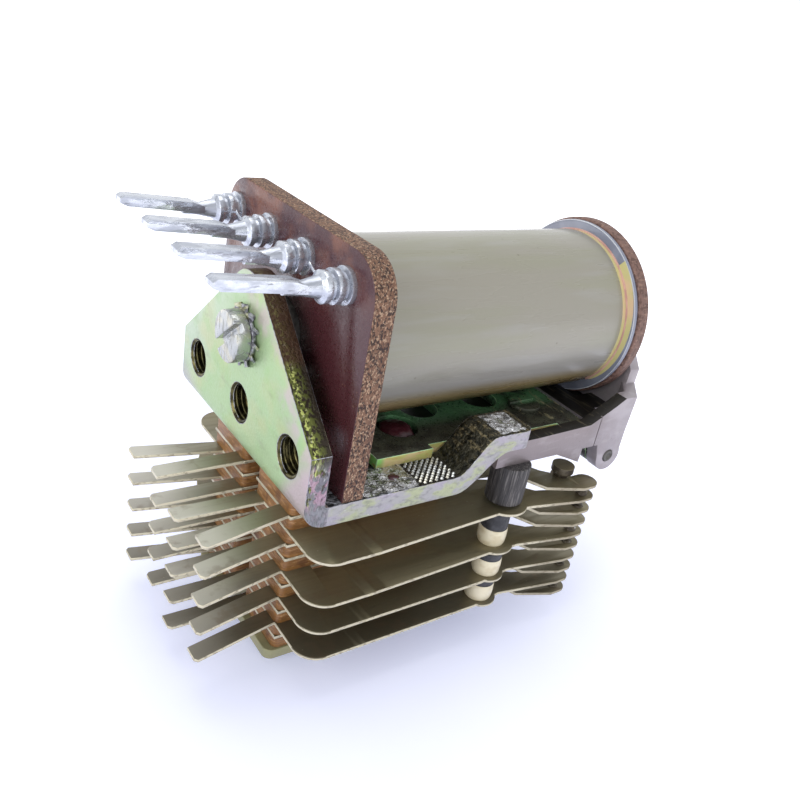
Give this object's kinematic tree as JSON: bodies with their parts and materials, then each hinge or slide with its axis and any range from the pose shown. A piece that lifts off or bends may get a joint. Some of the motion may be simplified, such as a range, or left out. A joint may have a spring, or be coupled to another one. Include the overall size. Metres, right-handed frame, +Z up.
{
  "type": "electrical relay",
  "caption": "Electromagnetic relay with a wrapped coil on an L-shaped heelpiece, a hinged armature and two stacked spring pile-ups with solder tails.",
  "frame": {"origin": "centre of the middle tapped hole, on the rear face of the heelpiece", "axes": "+X along the coil from rear to front, +Z up, +Y across, away from the picture's viewer"},
  "size_m": [0.0646, 0.0364, 0.0538],
  "materials": {
    "plated_steel": "zinc plated with a yellow-green iridescent chromate",
    "bracket_plate": "yellow chromate over zinc",
    "screw_steel": "plated steel",
    "pin_steel": "bright ground steel",
    "armature_plate": "dull nickel plate with a pinkish cast",
    "core_iron": "machined soft iron",
    "coil_screw_steel": "plated steel, worn slot",
    "washer_steel": "plated toothed washer",
    "rear_board": "maroon laminate board with brown speckled cut edges",
    "front_board": "brown laminate board",
    "clear_film": "clear film, bluish",
    "magnet_wire": "enamelled copper wire",
    "tape": "cream adhesive tape",
    "wrap": "satin varnished sleeve",
    "tinned_lug": "bright solder over tinned brass",
    "lead_wire": "fine tinned wire",
    "clamp_screw_steel": "steel with red lacquer on the ends",
    "sleeve": "varnished tube",
    "bushing": "dark streaky moulded rod",
    "pad": "orange-brown laminate",
    "clamp_plate": "light olive plating",
    "spring_metal": "nickel silver strip, olive grey with bright cut edges",
    "stud": "ivory moulding with a dark top"
  },
  "bodies": {
    "frame": {"heelpiece": "plated_steel", "hinge_bracket": "bracket_plate", "bracket_screws": "screw_steel", "hinge_pin": "pin_steel", "core": "core_iron", "coil_screw": "coil_screw_steel", "lock_washer": "washer_steel", "rear_spool_head": "rear_board", "front_spool_head": "front_board", "clear_washer": "clear_film", "coil_winding": "magnet_wire", "coil_tape": "tape", "coil_wrap": "wrap", "coil_terminals": "tinned_lug", "coil_leads": "lead_wire", "clamp_screws": "clamp_screw_steel", "screw_sleeves": "sleeve", "near_pads": "pad", "near_clamp_plate": "clamp_plate", "near_moving_1_root": "spring_metal", "near_moving_2_root": "spring_metal", "near_moving_3_root": "spring_metal", "near_moving_4_root": "spring_metal", "near_fixed_1": "spring_metal", "near_fixed_2": "spring_metal", "near_fixed_3": "spring_metal", "near_fixed_4": "spring_metal", "near_fixed_5": "spring_metal", "near_fixed_6": "spring_metal", "far_pads": "pad", "far_clamp_plate": "clamp_plate", "far_moving_1_root": "spring_metal", "far_moving_2_root": "spring_metal", "far_moving_3_root": "spring_metal", "far_moving_4_root": "spring_metal", "far_fixed_1": "spring_metal", "far_fixed_2": "spring_metal", "far_fixed_3": "spring_metal", "far_fixed_4": "spring_metal", "far_fixed_5": "spring_metal", "far_fixed_6": "spring_metal"},
    "armature": {"armature": "armature_plate", "near_bushing": "bushing", "far_bushing": "bushing"},
    "near_spring_1": {"near_moving_1_blade": "spring_metal"},
    "near_spring_2": {"near_moving_2_blade": "spring_metal", "near_stud_2": "stud"},
    "near_spring_3": {"near_moving_3_blade": "spring_metal", "near_stud_3": "stud"},
    "near_spring_4": {"near_moving_4_blade": "spring_metal", "near_stud_4": "stud"},
    "far_spring_1": {"far_moving_1_blade": "spring_metal"},
    "far_spring_2": {"far_moving_2_blade": "spring_metal", "far_stud_2": "stud"},
    "far_spring_3": {"far_moving_3_blade": "spring_metal", "far_stud_3": "stud"},
    "far_spring_4": {"far_moving_4_blade": "spring_metal", "far_stud_4": "stud"}
  },
  "joints": [
    {"name": "armature_hinge", "type": "hinge", "parent": "frame", "child": "armature", "pos_m": [0.0484, 0, -0.0075], "axis": [0, -1, 0], "range_deg": [0, 2], "stiffness_Nm_per_rad": 0.6, "springref_deg": -1.15},
    {"name": "near_spring_1_flex", "type": "hinge", "parent": "frame", "child": "near_spring_1", "pos_m": [0.01, 0, -0.01145], "axis": [0, 1, 0], "range_deg": [0, 1.73]},
    {"name": "near_spring_2_flex", "type": "hinge", "parent": "frame", "child": "near_spring_2", "pos_m": [0.01, 0, -0.0173], "axis": [0, 1, 0], "range_deg": [0, 1.73]},
    {"name": "near_spring_3_flex", "type": "hinge", "parent": "frame", "child": "near_spring_3", "pos_m": [0.01, 0, -0.0212], "axis": [0, 1, 0], "range_deg": [0, 1.73]},
    {"name": "near_spring_4_flex", "type": "hinge", "parent": "frame", "child": "near_spring_4", "pos_m": [0.01, 0, -0.0251], "axis": [0, 1, 0], "range_deg": [0, 1.73]},
    {"name": "far_spring_1_flex", "type": "hinge", "parent": "frame", "child": "far_spring_1", "pos_m": [0.01, 0, -0.01145], "axis": [0, 1, 0], "range_deg": [0, 1.73]},
    {"name": "far_spring_2_flex", "type": "hinge", "parent": "frame", "child": "far_spring_2", "pos_m": [0.01, 0, -0.0173], "axis": [0, 1, 0], "range_deg": [0, 1.73]},
    {"name": "far_spring_3_flex", "type": "hinge", "parent": "frame", "child": "far_spring_3", "pos_m": [0.01, 0, -0.0212], "axis": [0, 1, 0], "range_deg": [0, 1.73]},
    {"name": "far_spring_4_flex", "type": "hinge", "parent": "frame", "child": "far_spring_4", "pos_m": [0.01, 0, -0.0251], "axis": [0, 1, 0], "range_deg": [0, 1.73]}
  ],
  "couplings": [
    {"joint": "near_spring_1_flex", "follows": "armature_hinge", "ratio": 0.86},
    {"joint": "near_spring_2_flex", "follows": "armature_hinge", "ratio": 0.86},
    {"joint": "near_spring_3_flex", "follows": "armature_hinge", "ratio": 0.86},
    {"joint": "near_spring_4_flex", "follows": "armature_hinge", "ratio": 0.86},
    {"joint": "far_spring_1_flex", "follows": "armature_hinge", "ratio": 0.86},
    {"joint": "far_spring_2_flex", "follows": "armature_hinge", "ratio": 0.86},
    {"joint": "far_spring_3_flex", "follows": "armature_hinge", "ratio": 0.86},
    {"joint": "far_spring_4_flex", "follows": "armature_hinge", "ratio": 0.86}
  ]
}
